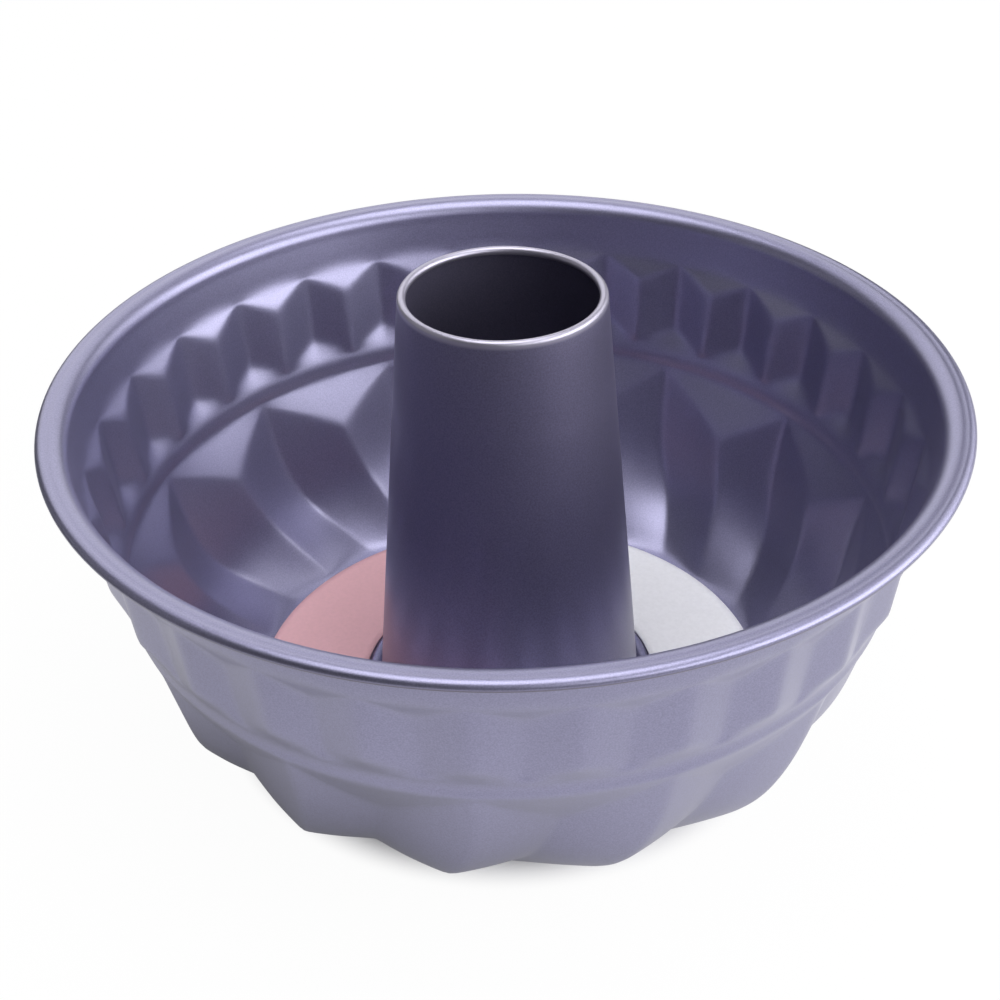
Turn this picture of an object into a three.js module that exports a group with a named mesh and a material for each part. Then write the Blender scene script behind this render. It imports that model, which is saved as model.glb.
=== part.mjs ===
// Fluted tube pan for ring cakes: a pressed sheet pan body, a separate conical centre tube seamed
// into its floor, and a loose card ring lying on the floor round the tube.
// Millimetres, +Z up. The origin is the centre of the base, and the pan stands on the plane z = 0.
// Petals are counted clockwise seen from above, and petal 0 starts at +Y.

import * as THREE from "three";

// Sheet and clearances
const SHEET = 0.8; // thickness of the pressed sheet of body and tube
const SEAT_GAP = 0.3; // gap between pieces that touch

// Rim
const RIM_RADIUS = 125; // over the rolled edge
const RIM_HEIGHT = 103; // top of the rim above the base
const BEAD_WIDTH = 4; // rolled edge of the rim, pressed a little flat
const BEAD_HEIGHT = 2.4;
const FLANGE_WIDTH = 3.4; // flat ledge between the rolled edge and the mouth
const MOUTH_ROUND = 3; // rounding where the ledge turns down into the mouth

// Plain band under the rim
const BAND_DEPTH = 15; // from the top of the rim down to the band's foot
const BAND_TAPER = 1.8; // how far the band draws in below the mouth

// Petals and flutes. A crease bulges outwards, and a ridge stands in towards the tube.
const PETALS = 14; // tall petals below the girdle
const FLUTES_PER_PETAL = 2; // short flutes above the girdle
const STEPS_PER_FLUTE = 4; // columns of facets over one short flute
const EDGE_LEDGE = 0.5; // least height between two rings of a flute's end

// Short flutes between band and girdle
const FLUTE_HEAD_DROP = 6.5; // facet under the band, at a ridge
const FLUTE_HEAD_INSET = 3.6; // how far that facet leans in from the band's foot
const FLUTE_TOE_RISE = 6.2; // facet above the girdle, at a crease
const FLUTE_TOE_INSET = 2.1; // how far that facet stands out from the girdle

// Girdle, the plain ring between flutes and petals
const GIRDLE_FOOT_HEIGHT = 54;
const GIRDLE_BREADTH = 5.8;
const GIRDLE_INSET = 6.6; // how far its top lies in from the band's foot
const GIRDLE_TAPER = 0.9;

// Petals between girdle and floor
const PETAL_HEAD_DROP = 15.5; // facet under the girdle, at a ridge
const PETAL_HEAD_INSET = 8.4; // how far that facet leans in from the girdle
const CREASE_BELLY_WIDTH = 20.4; // corner that a crease's belly bends round, out from its foot
const CREASE_BELLY_HEIGHT = 14.2;
const RIDGE_BELLY_WIDTH = 17; // corner that a ridge's belly bends round, out from its foot
const RIDGE_BELLY_HEIGHT = 19.8;
const CREASE_FOOT_WIDTH = 2; // where the bellies would meet the floor, out from its edge
const RIDGE_FOOT_WIDTH = 0.5;
const BELLY_RINGS = 6; // rings of facets down a belly
const FLOOR_ROUNDING = 0.04; // part of a belly that its rounding off into the floor takes away
const CREASE_SWIRL = 12.1; // degrees that a crease turns between girdle and floor
const CREASE_SWIRL_POWER = 3.1; // how late a crease starts to turn
const RIDGE_SWIRL = 10.8; // degrees that a ridge turns
const RIDGE_SWIRL_POWER = 1.73; // how late a ridge starts to turn

// Floor and seam
const FLOOR_RADIUS = 75.8; // edge of the flat floor
const SEAM_WIDTH = 4.2; // raised seam ring, from the tube out to the ring's foot
const SEAM_HEIGHT = 3; // top of the raised seam ring
const SEAM_DRAFT = 0.8; // how far the ring's outer wall leans in

// Centre tube
const TUBE_HEIGHT = 131; // lip above the base
const TUBE_FOOT_RADIUS = 39; // outside, at the seam
const TUBE_TOP_RADIUS = 27.9; // outside, at the lip
const LIP_RADIUS = 1.2; // edge rolled inwards at the top
const TUBE_FLANGE_CLEARANCE = 0.6; // between its turned-out foot and the wall of the seam ring

// Card ring
const CARD_THICKNESS = 0.5;
const CARD_EDGE_CLEARANCE = 0.2; // between the card's outer edge and the edge of the floor
const CARD_HOLE_CLEARANCE = 0.5; // between the seam ring and the hole in the card

// Facets of the plain round pieces
const TUBE_SIDES = 56;
const CARD_SIDES = 84;
const ROUND_STEPS = 9; // facets over a rolled edge
const MOUTH_STEPS = 3; // facets over the rounding of the mouth

// Radii that follow from these sizes
const BEAD_CENTRE_RADIUS = RIM_RADIUS - BEAD_WIDTH / 2;
const MOUTH_EDGE_RADIUS = BEAD_CENTRE_RADIUS - FLANGE_WIDTH; // inner edge of the flat ledge
const MOUTH_RADIUS = MOUTH_EDGE_RADIUS - MOUTH_ROUND;
const SEAM_RADIUS = TUBE_FOOT_RADIUS + SEAM_WIDTH;

const COAT = new THREE.Color(0x8b87a3);
const CARD_TINT = new THREE.Color(0xe4bcb8);

const pan = new THREE.Group();
pan.name = "tube_pan";

// A ring of the pressed sheet: where it lies on a crease and on a ridge, and how many flutes it has.
function ring(crease, ridge = crease, flutes = PETALS) {
  return { crease, ridge, flutes };
}

const point = (radius, height) => new THREE.Vector2(radius, height);

// Radius and height on the belly curve from a top point round its corner to the floor.
function belly(top, corner, foot) {
  return new THREE.CubicBezierCurve(top, corner, corner, foot);
}

// Rings of the inner face, from the mouth down to the floor's edge.
function innerRings() {
  const shortFlutes = PETALS * FLUTES_PER_PETAL;
  const bandFoot = point(MOUTH_RADIUS - BAND_TAPER, RIM_HEIGHT - BAND_DEPTH);
  const girdleTop = point(bandFoot.x - GIRDLE_INSET, GIRDLE_FOOT_HEIGHT + GIRDLE_BREADTH);
  const girdleFoot = point(girdleTop.x - GIRDLE_TAPER, GIRDLE_FOOT_HEIGHT);
  const fluteHead = bandFoot.clone().sub(point(FLUTE_HEAD_INSET, FLUTE_HEAD_DROP));
  const fluteToe = girdleTop.clone().add(point(FLUTE_TOE_INSET, FLUTE_TOE_RISE));
  const petalHead = girdleFoot.clone().sub(point(PETAL_HEAD_INSET, PETAL_HEAD_DROP));
  const creaseFoot = point(FLOOR_RADIUS + CREASE_FOOT_WIDTH, SHEET);
  const ridgeFoot = point(FLOOR_RADIUS + RIDGE_FOOT_WIDTH, SHEET);
  const ledge = point(0, -EDGE_LEDGE);
  const rings = [
    ring(bandFoot),
    ring(bandFoot.clone().add(ledge), fluteHead, shortFlutes),
    ring(fluteToe, girdleTop.clone().sub(ledge), shortFlutes),
    ring(girdleTop),
    ring(girdleFoot),
  ];
  const creaseCorner = point(creaseFoot.x + CREASE_BELLY_WIDTH, CREASE_BELLY_HEIGHT);
  const ridgeCorner = point(ridgeFoot.x + RIDGE_BELLY_WIDTH, RIDGE_BELLY_HEIGHT);
  const crease = belly(girdleFoot.clone().add(ledge), creaseCorner, creaseFoot);
  const ridge = belly(petalHead, ridgeCorner, ridgeFoot);
  for (let i = 0; i <= BELLY_RINGS; i += 1) {
    const t = ((1 - FLOOR_ROUNDING) * i) / BELLY_RINGS;
    rings.push(ring(crease.getPoint(t), ridge.getPoint(t)));
  }
  return rings;
}

// Moves a line of points sideways by the sheet's thickness, to the right of its direction.
function offset(line) {
  return line.map((here, i) => {
    const before = line[Math.max(i - 1, 0)];
    const after = line[Math.min(i + 1, line.length - 1)];
    const along = after.clone().sub(before).normalize();
    return here.clone().add(point(-along.y, along.x).multiplyScalar(SHEET));
  });
}

// The same rings on the outer face of the sheet.
function outerRings(rings) {
  const creases = offset(rings.map((r) => r.crease));
  const ridges = offset(rings.map((r) => r.ridge));
  return rings.map((r, i) => ring(creases[i], ridges[i], r.flutes));
}

// Points on an arc of the profile, angles in degrees from outwards, counter-clockwise.
// An arc with its own rise is part of an ellipse.
function arc(centre, radius, from, to, steps, rise = radius) {
  const curve = new THREE.EllipseCurve(
    centre.x, centre.y, radius, rise,
    THREE.MathUtils.degToRad(from), THREE.MathUtils.degToRad(to), to < from,
  );
  return curve.getPoints(steps);
}

// The closed run of rings round the whole section of the sheet: inner face up from the seam,
// over the rolled rim, outer face down again and back under the floor.
function sectionRings() {
  const fluted = innerRings();
  const outside = outerRings(fluted);
  const mouthRound = point(MOUTH_EDGE_RADIUS, RIM_HEIGHT - MOUTH_ROUND);
  const beadCentre = point(BEAD_CENTRE_RADIUS, RIM_HEIGHT - BEAD_HEIGHT / 2);
  const underside = RIM_HEIGHT - SHEET;
  const hole = TUBE_FOOT_RADIUS + SEAT_GAP;
  const plain = (points) => points.map((p) => ring(p));
  return [
    ...plain([
      point(hole, SEAM_HEIGHT),
      point(SEAM_RADIUS - SEAM_DRAFT, SEAM_HEIGHT),
      point(SEAM_RADIUS, SHEET),
      point(FLOOR_RADIUS, SHEET),
    ]),
    ...fluted.toReversed(),
    ...plain(arc(mouthRound, MOUTH_ROUND, 180, 90, MOUTH_STEPS)),
    ...plain(arc(beadCentre, BEAD_WIDTH / 2, 90, -180, ROUND_STEPS, BEAD_HEIGHT / 2)),
    ...plain([
      point(beadCentre.x - BEAD_WIDTH / 2, underside),
      point(MOUTH_EDGE_RADIUS, underside),
      point(MOUTH_RADIUS + SHEET, mouthRound.y),
    ]),
    ...outside,
    ...plain([
      point(FLOOR_RADIUS, 0),
      point(SEAM_RADIUS - SHEET, 0),
      point(SEAM_RADIUS - SHEET - SEAM_DRAFT, SEAM_HEIGHT - SHEET),
      point(hole, SEAM_HEIGHT - SHEET),
    ]),
  ];
}

// Turn in degrees of a point of the sheet below the girdle.
function swirl(height, most, power) {
  const depth = (GIRDLE_FOOT_HEIGHT - height) / GIRDLE_FOOT_HEIGHT;
  return most * Math.max(depth, 0) ** power;
}

// Where a ring lies at a place round the pan, counted in petals clockwise from +Y.
function onRing(r, petal) {
  const flute = (petal * r.flutes) / PETALS;
  const towardsRidge = 1 - Math.abs(2 * (flute % 1) - 1);
  const at = r.crease.clone().lerp(r.ridge, towardsRidge);
  const turn = THREE.MathUtils.lerp(
    swirl(r.crease.y, CREASE_SWIRL, CREASE_SWIRL_POWER),
    swirl(r.ridge.y, RIDGE_SWIRL, RIDGE_SWIRL_POWER),
    towardsRidge,
  );
  const angle = THREE.MathUtils.degToRad((petal * 360) / PETALS + turn);
  return new THREE.Vector3(at.x * Math.sin(angle), at.x * Math.cos(angle), at.y);
}

// A closed body from rings of one section, with its facets facing out.
function bodyFromRings(rings, columns) {
  const positions = [];
  const faces = [];
  rings.forEach((r) => {
    for (let c = 0; c < columns; c += 1) {
      positions.push(...onRing(r, (c * PETALS) / columns));
    }
  });
  rings.forEach((_, row) => {
    const next = (row + 1) % rings.length;
    for (let c = 0; c < columns; c += 1) {
      const side = (c + 1) % columns;
      const [a, b] = [row * columns + c, row * columns + side];
      const [d, e] = [next * columns + c, next * columns + side];
      faces.push(a, b, e, a, e, d);
    }
  });
  const geometry = new THREE.BufferGeometry();
  geometry.setAttribute("position", new THREE.Float32BufferAttribute(positions, 3));
  geometry.setIndex(faces);
  geometry.computeVertexNormals();
  return geometry;
}

function add(name, geometry, color, roughness, metalness) {
  const material = new THREE.MeshStandardMaterial({ color, roughness, metalness });
  const mesh = new THREE.Mesh(geometry, material);
  mesh.name = name;
  pan.add(mesh);
}

// A turned piece stands on the lathe's Y axis, so it is tipped up to +Z.
function turned(name, profile, sides, color, roughness, metalness) {
  const geometry = new THREE.LatheGeometry([...profile, profile[0]], sides);
  geometry.rotateX(Math.PI / 2);
  add(name, geometry, color, roughness, metalness);
}

// Pan body: one pressed sheet with rolled rim, flutes, girdle, swirled petals and seamed floor.
function panBody() {
  const columns = PETALS * FLUTES_PER_PETAL * STEPS_PER_FLUTE;
  add("pan_body", bodyFromRings(sectionRings(), columns), COAT, 0.38, 0.85);
}

// Centre tube: a plain cone of sheet, its foot turned out under the seam ring and its lip rolled in.
function centreTube() {
  const flangeTop = SEAM_HEIGHT - SHEET - SEAT_GAP;
  const lipCentre = point(TUBE_TOP_RADIUS - LIP_RADIUS, TUBE_HEIGHT - LIP_RADIUS);
  const flangeRadius = SEAM_RADIUS - SHEET - SEAM_DRAFT - TUBE_FLANGE_CLEARANCE;
  const profile = [
    point(flangeRadius, flangeTop - SHEET),
    point(flangeRadius, flangeTop),
    point(TUBE_FOOT_RADIUS, flangeTop),
    ...arc(lipCentre, LIP_RADIUS, 0, 270, ROUND_STEPS),
    point(TUBE_TOP_RADIUS - SHEET, lipCentre.y - LIP_RADIUS),
    point(TUBE_FOOT_RADIUS - SHEET, flangeTop - SHEET),
  ];
  turned("centre_tube", profile, TUBE_SIDES, COAT, 0.38, 0.85);
}

// Card ring: a flat blank ring lying loose on the floor round the seam.
function cardRing() {
  const hole = SEAM_RADIUS + CARD_HOLE_CLEARANCE;
  const edge = FLOOR_RADIUS - CARD_EDGE_CLEARANCE;
  const under = SHEET + SEAT_GAP;
  const top = under + CARD_THICKNESS;
  const profile = [point(hole, under), point(edge, under), point(edge, top), point(hole, top)];
  turned("card_ring", profile, CARD_SIDES, CARD_TINT, 0.8, 0);
}

panBody();
centreTube();
cardRing();

export default pan;
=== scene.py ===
import math
from collections import namedtuple

import bpy
from mathutils import Matrix, Vector


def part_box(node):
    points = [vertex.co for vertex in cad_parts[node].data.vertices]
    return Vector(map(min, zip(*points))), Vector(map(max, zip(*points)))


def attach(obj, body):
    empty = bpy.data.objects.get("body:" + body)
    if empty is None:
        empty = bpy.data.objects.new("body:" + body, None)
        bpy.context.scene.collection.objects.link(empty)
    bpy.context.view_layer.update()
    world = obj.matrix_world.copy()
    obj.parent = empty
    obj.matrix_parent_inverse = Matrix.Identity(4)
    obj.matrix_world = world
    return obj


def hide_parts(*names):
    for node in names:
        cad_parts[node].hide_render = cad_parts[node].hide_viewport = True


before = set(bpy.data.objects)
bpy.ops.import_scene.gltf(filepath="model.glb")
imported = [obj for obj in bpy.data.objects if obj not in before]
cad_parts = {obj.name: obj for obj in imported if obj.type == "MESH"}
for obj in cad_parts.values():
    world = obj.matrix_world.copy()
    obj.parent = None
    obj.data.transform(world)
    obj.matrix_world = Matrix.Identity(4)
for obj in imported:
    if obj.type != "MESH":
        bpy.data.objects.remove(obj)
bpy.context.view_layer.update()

MM = 0.001
SHELL_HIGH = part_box("pan_body")[1]
TUBE_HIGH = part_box("centre_tube")[1]
CARD_LOW, CARD_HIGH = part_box("card_ring")

# Sheet, rim and band; the roll starts and ends at angles in degrees from outwards
SHEET = 0.8 * MM
RIM_RADIUS = SHELL_HIGH.x
RIM_HEIGHT = SHELL_HIGH.z
BEAD = Vector((2, 1.5)) * MM
BEAD_START = 115
BEAD_END = -170
LEDGE_WIDTH = 1.9 * MM
LEDGE_DROP = 0.05 * MM
LEDGE_END = 0.8 * BEAD.x
MOUTH_ROUND = 4.5 * MM
MOUTH_RADIUS = RIM_RADIUS - BEAD.x - LEDGE_WIDTH - MOUTH_ROUND
BAND_DEPTH = 15 * MM
BAND_TAPER = 1.8 * MM
BAND_FOOT = Vector((MOUTH_RADIUS - BAND_TAPER, RIM_HEIGHT - BAND_DEPTH))

# Flutes, girdle and petals, with creases that bulge out and ridges that stand in
PETALS = 14
SHORT_FLUTES = 28
FLUTE_HEAD = Vector((3.6, 6.5)) * MM
FLUTE_TOE = Vector((4, 6.2)) * MM
CREASE_HEAD = Vector((0, 0.5)) * MM
GIRDLE_FOOT_HEIGHT = 54 * MM
GIRDLE_BREADTH = 5.8 * MM
GIRDLE_INSET = 6.6 * MM
GIRDLE_TAPER = 0.9 * MM
GIRDLE_FLAT = (0.28, 0.72)
GIRDLE_LINE = 0.4 * MM
LINE_FALL = Vector((0, 1.8)) * MM
PETAL_HEAD = Vector((8.4, 15.5)) * MM
CREASE_CORNER = Vector((98.2, 14.2)) * MM
RIDGE_CORNER = Vector((93.3, 19.8)) * MM
CREASE_FOOT = Vector((77.8, 0.8)) * MM
RIDGE_FOOT = Vector((76.3, 0.8)) * MM
BELLY_END = 0.96
CREASE_SWIRL = math.radians(12.1)
CREASE_SWIRL_POWER = 3.1
RIDGE_SWIRL = math.radians(10.8)
RIDGE_SWIRL_POWER = 1.73

# How often the pressed edges are eased, and how much each time, from 0 for not at all to 1
EDGE_ROUNDING = 3
PETAL_SOFT = 0.45
GIRDLE_SOFT = 0.3
TOE_SOFT = 0.2
FLUTE_SOFT = 0.25
HEAD_SOFT = 1.0

# Floor, seam and tube; the lip's roll ends at an angle in degrees from outwards
FLOOR_RADIUS = 75.8 * MM
TUBE_FOOT_RADIUS = 39 * MM
TUBE_TOP_RADIUS = 27.9 * MM
TUBE_HEIGHT = TUBE_HIGH.z
TUBE_FLANGE_RADIUS = TUBE_HIGH.x
LIP_RADIUS = 1.2 * MM
LIP_CURL = 280
SEAM_RADIUS = 43.2 * MM
SEAM_HEIGHT = 3 * MM
SEAM_DRAFT = 0.8 * MM
SEAM_ROUND = 0.7 * MM
SEAT_GAP = 0.3 * MM

# Card ring
CARD_RADIUS = CARD_HIGH.x
CARD_CLEARANCE = 0.5 * MM
CARD_HOLE = SEAM_RADIUS + CARD_CLEARANCE
CARD_THICKNESS = CARD_HIGH.z - CARD_LOW.z
CARD_CURL = 0.4 * MM

# Steps of the sheet faces, along each stretch and round the pan
SEAM_STEPS = 5
FLOOR_STEPS = 5
FLOOR_EDGE_STEPS = 4
BELLY_STEPS = 32
BAND_STEPS = 6
MOUTH_STEPS = 10
BEAD_STEPS = 22
LIP_STEPS = 18
CONE_STEPS = 24
CARD_STEPS = 14
QUARTER_PETAL_STEPS = 6
TUBE_COLUMNS = 192
CARD_COLUMNS = 240

# A ring of one sheet face: radius and height on a crease and on a ridge, flutes round it, edge softness.
Ring = namedtuple("Ring", "crease ridge flutes soft")


# Nodes

# Places of a colour mix's sockets, whose names its other kinds have too
MIX_SHARE, MIX_FIRST, MIX_SECOND = 0, 6, 7
MIX_RESULT = 2


def feed(tree, socket, value):
    """Links a socket to another one, or sets it to a plain value."""
    if isinstance(value, bpy.types.NodeSocket):
        tree.links.new(value, socket)
    else:
        socket.default_value = value


def add_node(tree, kind, settings=None, **inputs):
    """A node whose inputs are fed by name, with an underscore for a space."""
    node = tree.nodes.new(kind)
    for name, value in (settings or {}).items():
        setattr(node, name, value)
    for name, value in inputs.items():
        feed(tree, node.inputs[name.replace("_", " ")], value)
    return node


def calculate(tree, operation, *values):
    """Result of one Math node."""
    node = tree.nodes.new("ShaderNodeMath")
    node.operation = operation
    for socket, value in zip(node.inputs, values):
        feed(tree, socket, value)
    return node.outputs[0]


def between(tree, low, high, share):
    """low + (high - low) * share, in nodes."""
    return calculate(tree, "MULTIPLY_ADD", calculate(tree, "SUBTRACT", high, low), share, low)


def fall(tree, value, start, end, low, high):
    """Eased change from low at start to high at end, in nodes."""
    eased = add_node(
        tree, "ShaderNodeMapRange", {"interpolation_type": "SMOOTHSTEP"},
        Value=value, From_Min=start, From_Max=end, To_Min=low, To_Max=high,
    )
    return eased.outputs["Result"]


def mix_colours(tree, share, first, second, way="MIX"):
    """Colour from first towards second by share, in nodes."""
    mixed = add_node(tree, "ShaderNodeMix", {"data_type": "RGBA", "blend_type": way})
    for place, value in ((MIX_SHARE, share), (MIX_FIRST, first), (MIX_SECOND, second)):
        feed(tree, mixed.inputs[place], value)
    return mixed.outputs[MIX_RESULT]


def opaque(colour):
    return (*colour, 1.0)


# Sheet pieces

def plain(points, soft=0.0):
    """Rings without flutes."""
    return [Ring(p, p, PETALS, soft) for p in points]


def arc(centre, radius, start, end, steps, rise=None):
    """Points on an arc, angles in degrees from outwards, counter-clockwise; rise makes it an ellipse."""
    points = []
    rise = rise or radius
    for i in range(steps + 1):
        angle = math.radians(start + (end - start) * i / steps)
        points.append(centre + Vector((radius * math.cos(angle), rise * math.sin(angle))))
    return points


def blend(first, last, steps):
    """Rings from first towards last, without last, with as many flutes as the folded one has."""
    fluted = last if last.crease != last.ridge else first
    rings = []
    for i in range(steps):
        crease = first.crease.lerp(last.crease, i / steps)
        ridge = first.ridge.lerp(last.ridge, i / steps)
        soft = first.soft + (last.soft - first.soft) * i / steps
        rings.append(Ring(crease, ridge, fluted.flutes, soft))
    return rings


def bent(top, corner, foot, t):
    """Point on the belly curve that leaves top, bends round corner and ends at foot."""
    return top * (1 - t) ** 3 + corner * (3 * t * (1 - t)) + foot * t ** 3


def gathered(petals, steps):
    """Places round the pan in petals, gathered at the creases and ridges of every quarter petal."""
    quarter = [0.5 - 0.5 * math.cos(math.pi * i / steps) for i in range(steps)]
    return [(n + share) / 4 for n in range(4 * petals) for share in quarter]


def even(columns):
    """Places round a plain piece, at equal steps."""
    return [PETALS * c / columns for c in range(columns)]


def lattice(name, rings, places):
    """One face of a sheet, with the numbers that the pressing needs kept on its points."""
    count = len(places)
    points = []
    for ring in rings:
        radius, height = ring.crease
        for place in places:
            angle = math.tau * place / PETALS
            points.append((radius * math.sin(angle), radius * math.cos(angle), height))
    faces = []
    for row in range(len(rings) - 1):
        low, high = row * count, (row + 1) * count
        for c in range(count):
            side = (c + 1) % count
            faces.append((low + c, low + side, high + side, high + c))
    mesh = bpy.data.meshes.new(name)
    mesh.from_pydata(points, [], faces)
    mesh.shade_smooth()
    for key in ("crease", "ridge"):
        values = []
        for ring in rings:
            values += (*getattr(ring, key), 0.0) * count
        mesh.attributes.new(key, "FLOAT_VECTOR", "POINT").data.foreach_set("vector", values)
    for key in ("flutes", "soft"):
        values = []
        for ring in rings:
            values += [getattr(ring, key)] * count
        mesh.attributes.new(key, "FLOAT", "POINT").data.foreach_set("value", values)
    mesh.attributes.new("petal", "FLOAT", "POINT").data.foreach_set("value", places * len(rings))
    piece = bpy.data.objects.new(name, mesh)
    bpy.context.collection.objects.link(piece)
    return piece


def thicken(piece, thickness):
    """Gives a face its thickness, away from the side that it shows."""
    sheet = piece.modifiers.new("sheet", "SOLIDIFY")
    sheet.thickness = thickness
    sheet.offset = -1
    sheet.use_even_offset = True


def make_plain(piece):
    """Turns what the modifiers give into the piece's own mesh."""
    graph = bpy.context.evaluated_depsgraph_get()
    mesh = bpy.data.meshes.new_from_object(piece.evaluated_get(graph))
    mesh.name = piece.name
    piece.modifiers.clear()
    piece.data = mesh


# Pressing the flutes

def swirl_turn(tree, given, line, height):
    """Turn below the girdle of a point at this height on a crease or a ridge."""
    drop = calculate(tree, "SUBTRACT", given["Girdle height"], height)
    depth = calculate(tree, "MAXIMUM", calculate(tree, "DIVIDE", drop, given["Girdle height"]), 0.0)
    late = calculate(tree, "POWER", depth, given[line + " swirl power"])
    return calculate(tree, "MULTIPLY", given[line + " swirl"], late)


def press_flutes():
    """Node tree that folds a blank into flutes and petals and rounds the pressed edges."""
    tree = bpy.data.node_groups.new("press_flutes", "GeometryNodeTree")
    sockets = (
        ("Blank", "NodeSocketGeometry"), ("Petals", "NodeSocketInt"),
        ("Girdle height", "NodeSocketFloat"),
        ("Crease swirl", "NodeSocketFloat"), ("Crease swirl power", "NodeSocketFloat"),
        ("Ridge swirl", "NodeSocketFloat"), ("Ridge swirl power", "NodeSocketFloat"),
        ("Edge rounding", "NodeSocketInt"), ("Finish", "NodeSocketMaterial"),
    )
    for name, kind in sockets:
        tree.interface.new_socket(name, in_out="INPUT", socket_type=kind)
    tree.interface.new_socket("Shell", in_out="OUTPUT", socket_type="NodeSocketGeometry")
    given = tree.nodes.new("NodeGroupInput").outputs

    def kept(name, kind="FLOAT"):
        node = add_node(tree, "GeometryNodeInputNamedAttribute", {"data_type": kind}, Name=name)
        return node.outputs[0]

    petal = kept("petal")
    crease = add_node(tree, "ShaderNodeSeparateXYZ", Vector=kept("crease", "FLOAT_VECTOR")).outputs
    ridge = add_node(tree, "ShaderNodeSeparateXYZ", Vector=kept("ridge", "FLOAT_VECTOR")).outputs
    flute = calculate(tree, "DIVIDE", calculate(tree, "MULTIPLY", petal, kept("flutes")), given["Petals"])
    share = calculate(tree, "PINGPONG", calculate(tree, "MULTIPLY", flute, 2.0), 1.0)
    radius = between(tree, crease["X"], ridge["X"], share)
    height = between(tree, crease["Y"], ridge["Y"], share)
    turn = between(
        tree,
        swirl_turn(tree, given, "Crease", crease["Y"]),
        swirl_turn(tree, given, "Ridge", ridge["Y"]),
        share,
    )
    whole = calculate(tree, "DIVIDE", math.tau, given["Petals"])
    angle = calculate(tree, "MULTIPLY_ADD", petal, whole, turn)
    place = add_node(
        tree, "ShaderNodeCombineXYZ",
        X=calculate(tree, "MULTIPLY", radius, calculate(tree, "SINE", angle)),
        Y=calculate(tree, "MULTIPLY", radius, calculate(tree, "COSINE", angle)),
        Z=height,
    )
    folded = add_node(tree, "GeometryNodeSetPosition", Geometry=given["Blank"], Position=place.outputs[0])
    rounded = add_node(
        tree, "GeometryNodeBlurAttribute", {"data_type": "FLOAT_VECTOR"},
        Iterations=given["Edge rounding"], Weight=kept("soft"),
    )
    vector_in = next(s for s in rounded.inputs if s.enabled and s.type == "VECTOR")
    feed(tree, vector_in, add_node(tree, "GeometryNodeInputPosition").outputs[0])
    vector_out = next(s for s in rounded.outputs if s.enabled)
    eased = add_node(tree, "GeometryNodeSetPosition", Geometry=folded.outputs[0], Position=vector_out)
    whole_shell = add_node(tree, "GeometryNodeRealizeInstances", Geometry=eased.outputs[0])
    coated = add_node(
        tree, "GeometryNodeSetMaterial", Geometry=whole_shell.outputs[0], Material=given["Finish"],
    )
    feed(tree, tree.nodes.new("NodeGroupOutput").inputs["Shell"], coated.outputs[0])
    return tree


def press(piece, finish):
    """Puts the pressing on a blank, with this pan's sizes."""
    tree = press_flutes()
    values = {
        "Petals": PETALS, "Girdle height": GIRDLE_FOOT_HEIGHT,
        "Crease swirl": CREASE_SWIRL, "Crease swirl power": CREASE_SWIRL_POWER,
        "Ridge swirl": RIDGE_SWIRL, "Ridge swirl power": RIDGE_SWIRL_POWER,
        "Edge rounding": EDGE_ROUNDING, "Finish": finish,
    }
    pressing = piece.modifiers.new("press", "NODES")
    pressing.node_group = tree
    for item in tree.interface.items_tree:
        if item.name in values:
            pressing[item.identifier] = values[item.name]


# Pan shell

def seam_rings():
    """The raised ring round the tube, from the hole out to the flat floor."""
    hole = TUBE_FOOT_RADIUS + SEAT_GAP
    top = Vector((SEAM_RADIUS - SEAM_DRAFT - SEAM_ROUND, SEAM_HEIGHT - SEAM_ROUND))
    foot = Vector((SEAM_RADIUS + SEAM_ROUND, SHEET + SEAM_ROUND))
    points = [Vector((hole, SEAM_HEIGHT))]
    points += arc(top, SEAM_ROUND, 90, 0, SEAM_STEPS)
    points += arc(foot, SEAM_ROUND, 180, 270, SEAM_STEPS)
    return plain(points)


def floor_rings():
    """The flat floor between the seam and the petals."""
    breadth = FLOOR_RADIUS - SEAM_RADIUS
    radii = [SEAM_RADIUS + breadth * i / FLOOR_STEPS for i in range(1, FLOOR_STEPS)]
    return plain([Vector((radius, SHEET)) for radius in radii])


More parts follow.
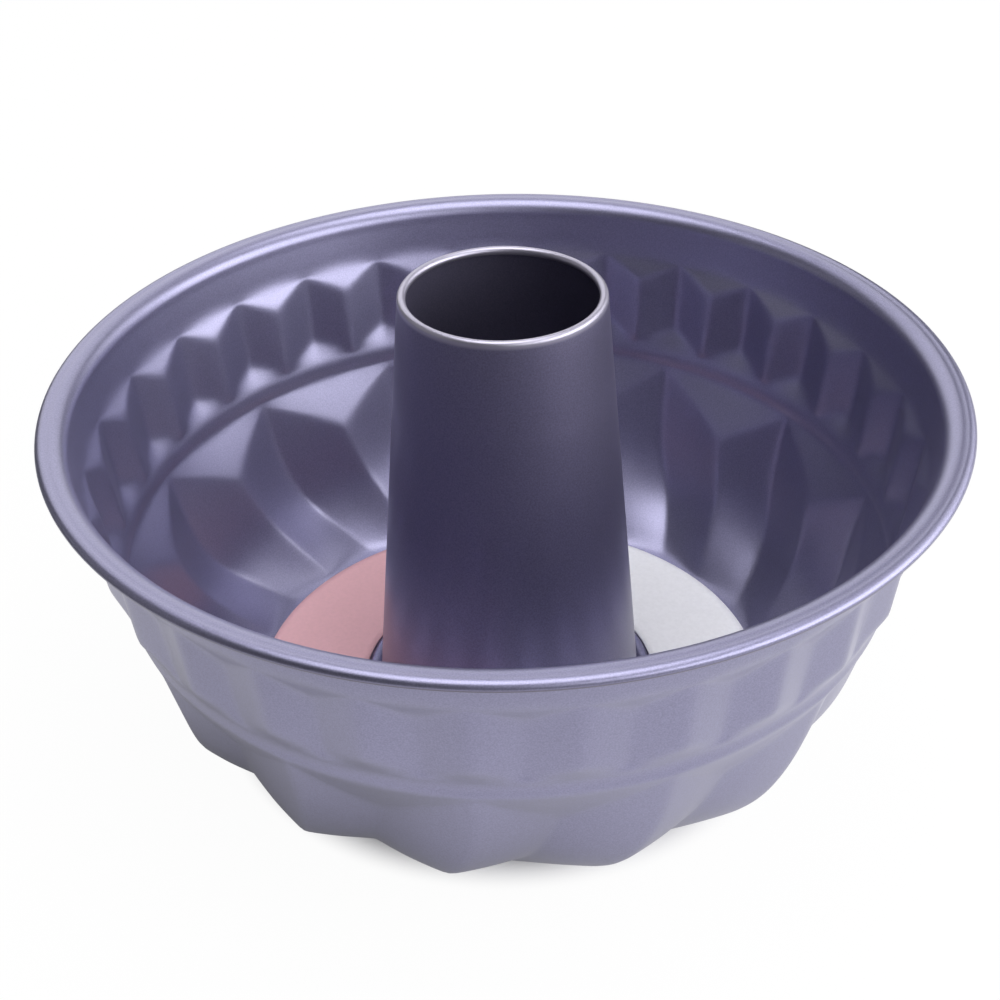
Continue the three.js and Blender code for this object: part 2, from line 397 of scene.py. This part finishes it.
def wall_rings():
    """Floor edge, petals, girdle and flutes, up to the foot of the plain band."""
    girdle_top = Vector((BAND_FOOT.x - GIRDLE_INSET, GIRDLE_FOOT_HEIGHT + GIRDLE_BREADTH))
    girdle_foot = Vector((girdle_top.x - GIRDLE_TAPER, GIRDLE_FOOT_HEIGHT))
    petal_head = girdle_foot - PETAL_HEAD
    line = Vector((GIRDLE_LINE, 0))
    low, high = (girdle_foot.lerp(girdle_top, share) for share in GIRDLE_FLAT)

    def belly_ring(t):
        crease = bent(girdle_foot - LINE_FALL, CREASE_CORNER, CREASE_FOOT, t)
        return Ring(crease, bent(petal_head, RIDGE_CORNER, RIDGE_FOOT, t), PETALS, PETAL_SOFT)

    floor_edge = Vector((FLOOR_RADIUS, SHEET))
    rings = blend(
        Ring(floor_edge, floor_edge, PETALS, PETAL_SOFT), belly_ring(BELLY_END), FLOOR_EDGE_STEPS,
    )
    rings += [belly_ring(BELLY_END * (1 - i / BELLY_STEPS)) for i in range(BELLY_STEPS)]
    # Each station comes with the number of steps to the next
    stations = (
        (belly_ring(0.0), 11),
        (Ring(girdle_foot + line, girdle_foot + line, PETALS, GIRDLE_SOFT), 2),
        (Ring(low, low, PETALS, GIRDLE_SOFT), 3),
        (Ring(high, high, SHORT_FLUTES, GIRDLE_SOFT), 2),
        (Ring(girdle_top + line, girdle_top + line, SHORT_FLUTES, TOE_SOFT), 5),
        (Ring(girdle_top + FLUTE_TOE, girdle_top + LINE_FALL, SHORT_FLUTES, FLUTE_SOFT), 13),
        (Ring(BAND_FOOT - CREASE_HEAD, BAND_FOOT - FLUTE_HEAD, SHORT_FLUTES, HEAD_SOFT), 6),
        (Ring(BAND_FOOT, BAND_FOOT, SHORT_FLUTES, HEAD_SOFT), 0),
    )
    for (station, steps), (following, _) in zip(stations, stations[1:]):
        rings += blend(station, following, steps)
    return rings + [stations[-1][0]]


def rim_rings():
    """Plain band, rounded mouth, flat ledge and a rolled edge pressed a little flat."""
    edge = RIM_RADIUS - BEAD.x
    ledge = RIM_HEIGHT - LEDGE_DROP
    mouth_centre = Vector((edge - LEDGE_WIDTH, ledge - MOUTH_ROUND))
    bead_centre = Vector((edge, RIM_HEIGHT - BEAD.y))
    mouth = Vector((MOUTH_RADIUS, mouth_centre.y))
    points = [BAND_FOOT.lerp(mouth, i / BAND_STEPS) for i in range(1, BAND_STEPS)]
    points += arc(mouth_centre, MOUTH_ROUND, 180, 90, MOUTH_STEPS)
    points.append(Vector((edge - LEDGE_END, ledge)))
    points += arc(bead_centre, BEAD.x, BEAD_START, BEAD_END, BEAD_STEPS, BEAD.y)
    return plain(points)


def pan_shell(finish):
    """One pressed sheet from the seam over floor, petals, girdle and flutes to the rolled rim."""
    rings = seam_rings() + floor_rings() + wall_rings() + rim_rings()
    shell = lattice("pan_shell", rings, gathered(PETALS, QUARTER_PETAL_STEPS))
    press(shell, finish)
    thicken(shell, SHEET)
    make_plain(shell)
    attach(shell, "pan")
    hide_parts("pan_body")


# Centre tube

def centre_tube(finish):
    """A cone of sheet with its lip rolled inwards and its foot turned out under the seam ring."""
    flange_top = SEAM_HEIGHT - SHEET - SEAT_GAP
    lip_centre = Vector((TUBE_TOP_RADIUS - LIP_RADIUS, TUBE_HEIGHT - LIP_RADIUS))
    foot = Vector((TUBE_FOOT_RADIUS, flange_top))
    lip = arc(lip_centre, LIP_RADIUS, LIP_CURL, 0, LIP_STEPS)
    cone = [lip[-1].lerp(foot, i / CONE_STEPS) for i in range(1, CONE_STEPS)]
    flange = [foot, Vector((TUBE_FLANGE_RADIUS, flange_top))]
    tube = lattice("centre_tube_cone", plain(lip + cone + flange), even(TUBE_COLUMNS))
    tube.data.materials.append(finish)
    thicken(tube, SHEET)
    make_plain(tube)
    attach(tube, "pan")
    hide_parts("centre_tube")


# Card ring

def card_ring(finish):
    """A blank ring of card that lies on the floor and has curled up a little along its edge."""
    breadth = CARD_RADIUS - CARD_HOLE
    radii = [CARD_HOLE + breadth * i / CARD_STEPS for i in range(CARD_STEPS + 1)]
    rings = plain([Vector((radius, CARD_HIGH.z)) for radius in radii])
    card = lattice("card_disc", rings, even(CARD_COLUMNS))
    for vertex in card.data.vertices:
        out = (vertex.co.xy.length - CARD_HOLE) / breadth
        bearing = math.atan2(vertex.co.y, vertex.co.x)
        vertex.co.z += CARD_CURL * out ** 2 * (0.5 + 0.5 * math.cos(2 * bearing))
    card.data.materials.append(finish)
    thicken(card, CARD_THICKNESS)
    make_plain(card)
    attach(card, "card")
    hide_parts("card_ring")


# Finishes

# A coat: base colour, share of metal, roughness, weight of its clear layer and colour along an edge,
# where light or shade is painted.
Coat = namedtuple("Coat", "name base metal rough gloss edge")
# The shell's edge colour is painted shade under the rim's roll.
SHELL_COAT = Coat("satin_coat", (0.27, 0.262, 0.4), 0.92, 0.43, 0.65, (0.09, 0.07, 0.12))
# The tube's base is a darker copy of the shell's: painted shade inside the tube. Its edge colour is a
# painted highlight on the lip.
TUBE_COAT = Coat("tube_coat", (0.2, 0.187, 0.285), 0.82, 0.4, 0.3, (0.42, 0.4, 0.5))
CLEAR_ROUGHNESS = 0.3
FLAKE_LEVELS = (0.86, 1.14)
FLAKE_ROUGHNESS = 0.02
DRIFT_ROUGHNESS = 0.03
CARD_TINT = (0.72, 0.425, 0.45)
CARD_WHITE = (0.95, 0.95, 0.97)
CARD_ROUGHNESS = 0.7
CARD_SPECULAR = 0.1
FIBRE_LEVEL = 0.94

# Where the coat's colour changes: painted shade under the rim's roll, and a painted highlight on the
# tube's lip
ROLL_INSIDE = RIM_RADIUS - 2 * BEAD.x
ROLL_SHADE_HEIGHTS = (RIM_HEIGHT - 1.4 * BEAD.y, RIM_HEIGHT - 0.9 * BEAD.y)
LIP_HIGHLIGHT_HEIGHTS = (TUBE_HEIGHT - 2 * LIP_RADIUS, TUBE_HEIGHT - LIP_RADIUS)

# Grains to the metre with their detail, the span that they seldom leave, and how they are embossed
FLAKE = (2400.0, 2.0)
DRIFT = (18.0, 2.0)
PEEL = (520.0, 3.0)
FIBRE = (900.0, 4.0)
GRAIN_SPAN = (0.3, 0.7)
PEEL_RELIEF = (0.05, 0.3 * MM)
FIBRE_RELIEF = (0.1, 0.2 * MM)


def new_finish(name):
    """A new material with its node tree and its shader."""
    material = bpy.data.materials.new(name)
    material.use_nodes = True
    return material, material.node_tree, material.node_tree.nodes["Principled BSDF"]


def grain(tree, place, scale, detail):
    return add_node(tree, "ShaderNodeTexNoise", Vector=place, Scale=scale, Detail=detail).outputs["Fac"]


def range_of(tree, value, low, high):
    """A grain stretched to run from low to high."""
    start, end = GRAIN_SPAN
    stretched = add_node(
        tree, "ShaderNodeMapRange", Value=value, From_Min=start, From_Max=end, To_Min=low, To_Max=high,
    )
    return stretched.outputs["Result"]


def emboss(tree, shader, height, strength, depth):
    """Lets a grain stand up from the surface."""
    bump = add_node(tree, "ShaderNodeBump", Height=height, Strength=strength, Distance=depth)
    feed(tree, shader.inputs["Normal"], bump.outputs[0])


def painted_roll_shade(tree, place):
    """Painted shade on the lower half of the rim's roll, which darkens its colour."""
    ends = add_node(tree, "ShaderNodeSeparateXYZ", Vector=place).outputs
    flat = add_node(tree, "ShaderNodeCombineXYZ", X=ends["X"], Y=ends["Y"]).outputs[0]
    away = add_node(tree, "ShaderNodeVectorMath", {"operation": "LENGTH"}, Vector=flat).outputs["Value"]
    under = fall(tree, ends["Z"], *ROLL_SHADE_HEIGHTS, 1.0, 0.0)
    return calculate(tree, "MULTIPLY", under, calculate(tree, "GREATER_THAN", away, ROLL_INSIDE))


def painted_lip_highlight(tree, place):
    """Painted highlight on the tube's rolled lip, which lightens its colour."""
    height = add_node(tree, "ShaderNodeSeparateXYZ", Vector=place).outputs["Z"]
    return fall(tree, height, *LIP_HIGHLIGHT_HEIGHTS, 0.0, 1.0)


def coat_finish(coat, painted_light_share):
    """Satin metallic non-stick coat: fine flake, a trace of orange peel, slow changes of sheen, and light
    or shade painted along one edge.
    """
    material, tree, shader = new_finish(coat.name)
    place = add_node(tree, "ShaderNodeTexCoord").outputs["Object"]
    flake = grain(tree, place, *FLAKE)
    drift = grain(tree, place, *DRIFT)
    dull, bright = (opaque([level * c for c in coat.base]) for level in FLAKE_LEVELS)
    tint = mix_colours(tree, range_of(tree, flake, 0.0, 1.0), dull, bright)
    # The edge colour is painted light: painted shade under the rim's roll, a painted highlight on the
    # tube's lip.
    with_painted_light = mix_colours(tree, painted_light_share(tree, place), tint, opaque(coat.edge))
    feed(tree, shader.inputs["Base Color"], with_painted_light)
    shader.inputs["Metallic"].default_value = coat.metal
    shader.inputs["Coat Weight"].default_value = coat.gloss
    shader.inputs["Coat Roughness"].default_value = CLEAR_ROUGHNESS
    slow = range_of(tree, drift, coat.rough - DRIFT_ROUGHNESS, coat.rough + DRIFT_ROUGHNESS)
    fine = range_of(tree, flake, -FLAKE_ROUGHNESS, FLAKE_ROUGHNESS)
    feed(tree, shader.inputs["Roughness"], calculate(tree, "ADD", slow, fine))
    emboss(tree, shader, grain(tree, place, *PEEL), *PEEL_RELIEF)
    return material


def card_finish():
    """Matt card, tinted on one half and white on the other, with fibre grain."""
    material, tree, shader = new_finish("tinted_card")
    place = add_node(tree, "ShaderNodeTexCoord").outputs["Object"]
    across = add_node(tree, "ShaderNodeSeparateXYZ", Vector=place).outputs["X"]
    fibre = grain(tree, place, *FIBRE)
    right_half = calculate(tree, "GREATER_THAN", across, 0.0)
    halves = mix_colours(tree, right_half, opaque(CARD_TINT), opaque(CARD_WHITE))
    shaded = mix_colours(tree, 1.0, halves, range_of(tree, fibre, FIBRE_LEVEL, 1.0), "MULTIPLY")
    feed(tree, shader.inputs["Base Color"], shaded)
    shader.inputs["Roughness"].default_value = CARD_ROUGHNESS
    shader.inputs["Specular IOR Level"].default_value = CARD_SPECULAR
    emboss(tree, shader, fibre, *FIBRE_RELIEF)
    return material


# Studio

# Camera
VIEW_CENTRE = Vector((0, 0, 102 * MM))
VIEW_DISTANCE = 462.9 * MM
VIEW_TURN = math.radians(4.664)
VIEW_ELEVATION = math.radians(30.604)
VIEW_YAW = math.radians(-0.213)
VIEW_PITCH = math.radians(3.805)
VIEW_ROLL = math.radians(1.073)
VIEW_START = 10 * MM
LENS = 61.2
SENSOR = 36.0

# Table; each spread starts and ends at a distance from its centre and has a level at both
TABLE_HALF = 20.0
TABLE_DROP = 0.2 * MM
TABLE_COLOUR = (0.92, 0.92, 0.92)
TABLE_ROUGHNESS = 0.9
# The white that is seen falls off under the pan: a painted contact shadow.
WHITE_CENTRE = (0, 0, 0)
WHITE_SPREAD = (72 * MM, 88 * MM, 0.0, 0.97)
# What the metal mirrors is darker round the pan and most to its left: painted shade and a painted shadow
# cast away from the key lamp.
SHADE_CENTRE = (-30 * MM, 0, 0)
SHADE_SPREAD = (65 * MM, 150 * MM, 0.18, 1.0)
PAPER_CENTRE = (150 * MM, 150 * MM, 0)
PAPER_SPREAD = (350 * MM, 600 * MM, 1.0, 0.1)

# Room and lamps; a lamp's bearing is counted in degrees from the front to the right
HORIZON = (0.0, 0.06)
ROOM_LEVEL = 0.01
LAMP_AIM = Vector((0, 0, 70 * MM))
Lamp = namedtuple("Lamp", "name bearing rise distance size radiance")
LAMPS = (
    Lamp("key", 78, 22, 1.3, (1.5, 1.0), 4.0),
    Lamp("key_front", 32, 27, 1.3, (0.7, 0.72), 2.1),
    Lamp("key_back", 126, 27, 1.3, (0.9, 0.72), 1.85),
    Lamp("back", 198, 30, 1.3, (1.4, 0.9), 1.45),
    Lamp("left", 275, 20, 1.3, (1.2, 0.6), 0.35),
    Lamp("top", 0, 90, 1.2, (1.0, 1.0), 4.0),
)


def set_camera():
    """Camera that turns round the pan and then looks a little past its centre."""
    camera = bpy.data.objects.new("camera", bpy.data.cameras.new("camera"))
    camera.data.sensor_width = SENSOR
    camera.data.lens = LENS
    camera.data.clip_start = VIEW_START
    turn = Matrix.Rotation(VIEW_TURN, 3, "Z")
    aim = turn @ Matrix.Rotation(math.pi / 2 - VIEW_ELEVATION, 3, "X")
    place = VIEW_CENTRE + aim @ Vector((0, 0, VIEW_DISTANCE))
    aim = aim @ Matrix.Rotation(-VIEW_YAW, 3, "Y") @ Matrix.Rotation(-VIEW_PITCH, 3, "X")
    aim = aim @ Matrix.Rotation(-VIEW_ROLL, 3, "Z")
    camera.matrix_world = Matrix.Translation(place) @ aim.to_4x4()
    bpy.context.collection.objects.link(camera)
    bpy.context.scene.camera = camera


def table_finish():
    """White where it is seen, with the pan's shadow and a painted contact shadow under the pan, and a
    sheet of paper with painted shade round the pan where the metal mirrors it.
    """
    material, tree, shader = new_finish("white_floor")
    shader.inputs["Base Color"].default_value = opaque(TABLE_COLOUR)
    shader.inputs["Roughness"].default_value = TABLE_ROUGHNESS
    shader.inputs["Specular IOR Level"].default_value = 0.0
    rays = tree.nodes.new("ShaderNodeLightPath").outputs
    mirrored = calculate(tree, "MAXIMUM", rays["Is Glossy Ray"], rays["Is Transmission Ray"])
    place = add_node(tree, "ShaderNodeTexCoord").outputs["Object"]

    def spread(centre, start, end, low, high):
        off = add_node(tree, "ShaderNodeVectorMath", {"operation": "DISTANCE"})
        feed(tree, off.inputs[0], place)
        feed(tree, off.inputs[1], centre)
        return fall(tree, off.outputs["Value"], start, end, low, high)

    # Painted contact shadow in the white that is seen; painted shade in what the metal mirrors.
    seen = calculate(tree, "MULTIPLY", rays["Is Camera Ray"], spread(WHITE_CENTRE, *WHITE_SPREAD))
    shade = spread(SHADE_CENTRE, *SHADE_SPREAD)
    paper = calculate(tree, "MULTIPLY", shade, spread(PAPER_CENTRE, *PAPER_SPREAD))
    level = calculate(tree, "MULTIPLY_ADD", mirrored, calculate(tree, "SUBTRACT", paper, 1.0), 1.0)
    glow = add_node(tree, "ShaderNodeEmission", Strength=level)
    mixed = add_node(tree, "ShaderNodeMixShader", Fac=calculate(tree, "ADD", seen, mirrored))
    feed(tree, mixed.inputs[1], shader.outputs[0])
    feed(tree, mixed.inputs[2], glow.outputs[0])
    feed(tree, tree.nodes["Material Output"].inputs["Surface"], mixed.outputs[0])
    return material


def lay_table():
    """Wide table top just under the pan."""
    mesh = bpy.data.meshes.new("floor")
    sides = ((-1, -1), (1, -1), (1, 1), (-1, 1))
    corners = [(x * TABLE_HALF, y * TABLE_HALF, -TABLE_DROP) for x, y in sides]
    mesh.from_pydata(corners, [], [(0, 1, 2, 3)])
    mesh.materials.append(table_finish())
    table = bpy.data.objects.new("floor", mesh)
    bpy.context.collection.objects.link(table)


def hang_lamp(lamp):
    """Soft box that faces the pan."""
    width, height = lamp.size
    data = bpy.data.lights.new(lamp.name, "AREA")
    data.shape = "RECTANGLE"
    data.size = width
    data.size_y = height
    data.energy = lamp.radiance * math.pi * width * height
    turn = Matrix.Rotation(math.radians(lamp.bearing), 3, "Z")
    aim = turn @ Matrix.Rotation(math.radians(90 - lamp.rise), 3, "X")
    place = LAMP_AIM + aim @ Vector((0, 0, lamp.distance))
    box = bpy.data.objects.new(lamp.name, data)
    box.matrix_world = Matrix.Translation(place) @ aim.to_4x4()
    bpy.context.collection.objects.link(box)


def light_world():
    """White behind the pan and along the horizon, and a dark room above it."""
    world = bpy.data.worlds.new("studio")
    world.use_nodes = True
    bpy.context.scene.world = world
    tree = world.node_tree
    direction = add_node(tree, "ShaderNodeTexCoord").outputs["Generated"]
    rise = add_node(tree, "ShaderNodeSeparateXYZ", Vector=direction).outputs["Z"]
    room = fall(tree, rise, *HORIZON, 1.0, ROOM_LEVEL)
    behind = tree.nodes.new("ShaderNodeLightPath").outputs["Is Camera Ray"]
    backdrop = tree.nodes["Background"]
    backdrop.inputs["Color"].default_value = (1.0, 1.0, 1.0, 1.0)
    feed(tree, backdrop.inputs["Strength"], calculate(tree, "MAXIMUM", room, behind))


def set_studio():
    bpy.context.scene.view_settings.view_transform = "Standard"
    light_world()
    lay_table()
    for lamp in LAMPS:
        hang_lamp(lamp)
    set_camera()


pan_shell(coat_finish(SHELL_COAT, painted_roll_shade))
centre_tube(coat_finish(TUBE_COAT, painted_lip_highlight))
card_ring(card_finish())
set_studio()
